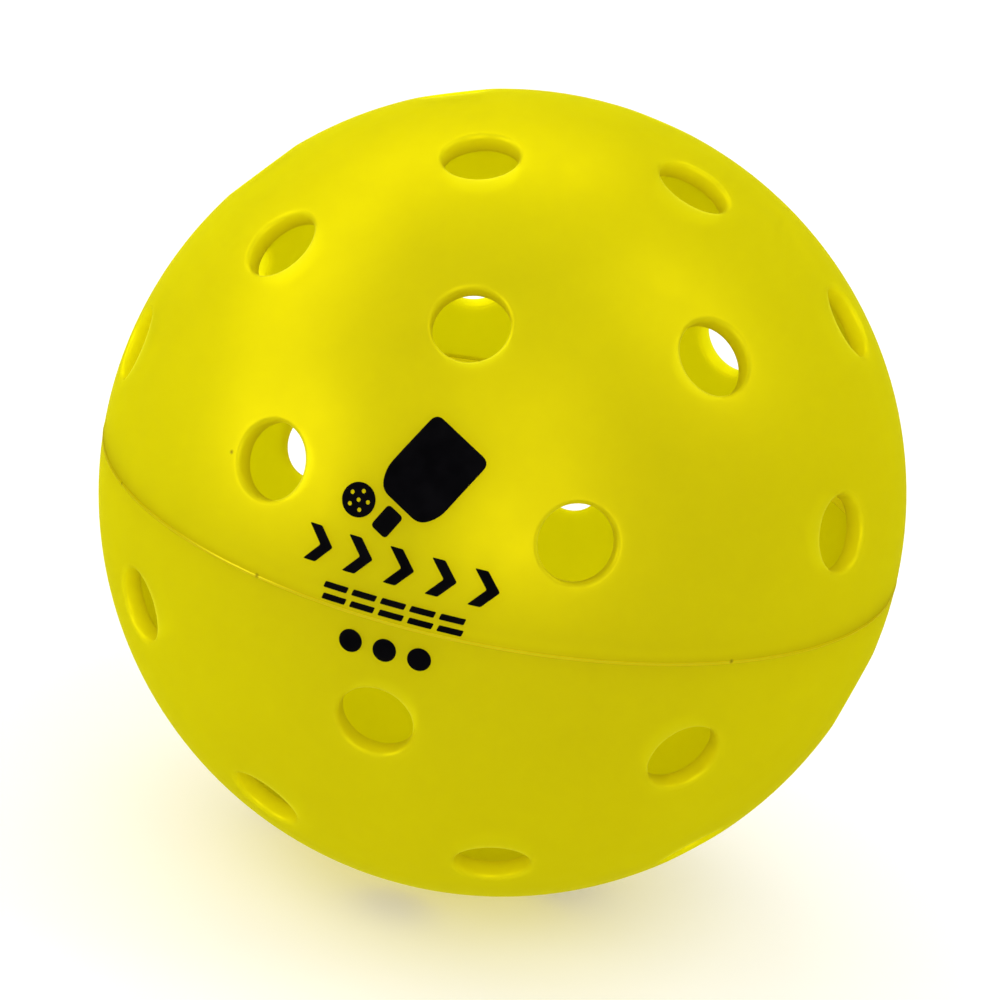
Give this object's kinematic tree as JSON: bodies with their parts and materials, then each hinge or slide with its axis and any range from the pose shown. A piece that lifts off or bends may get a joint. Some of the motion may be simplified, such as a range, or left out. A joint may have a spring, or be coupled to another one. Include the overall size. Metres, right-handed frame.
{
  "type": "pickleball ball",
  "caption": "Hollow perforated outdoor pickleball ball: two drilled plastic half shells welded round the equator.",
  "frame": {"origin": "centre of the ball", "axes": "+Z along the pole axis, square to the welded seam; +X and +Y each through a hole of the upper half's first row above the seam, seen from above"},
  "size_m": [0.0742, 0.0742, 0.074],
  "materials": {
    "shell_plastic": "satin moulded plastic, bright yellow",
    "seam_plastic": "satin welded plastic, bright yellow",
    "print_ink": "satin black ink"
  },
  "bodies": {
    "root": {"upper_shell": "shell_plastic", "lower_shell": "shell_plastic", "weld_seam": "seam_plastic"}
  },
  "joints": []
}
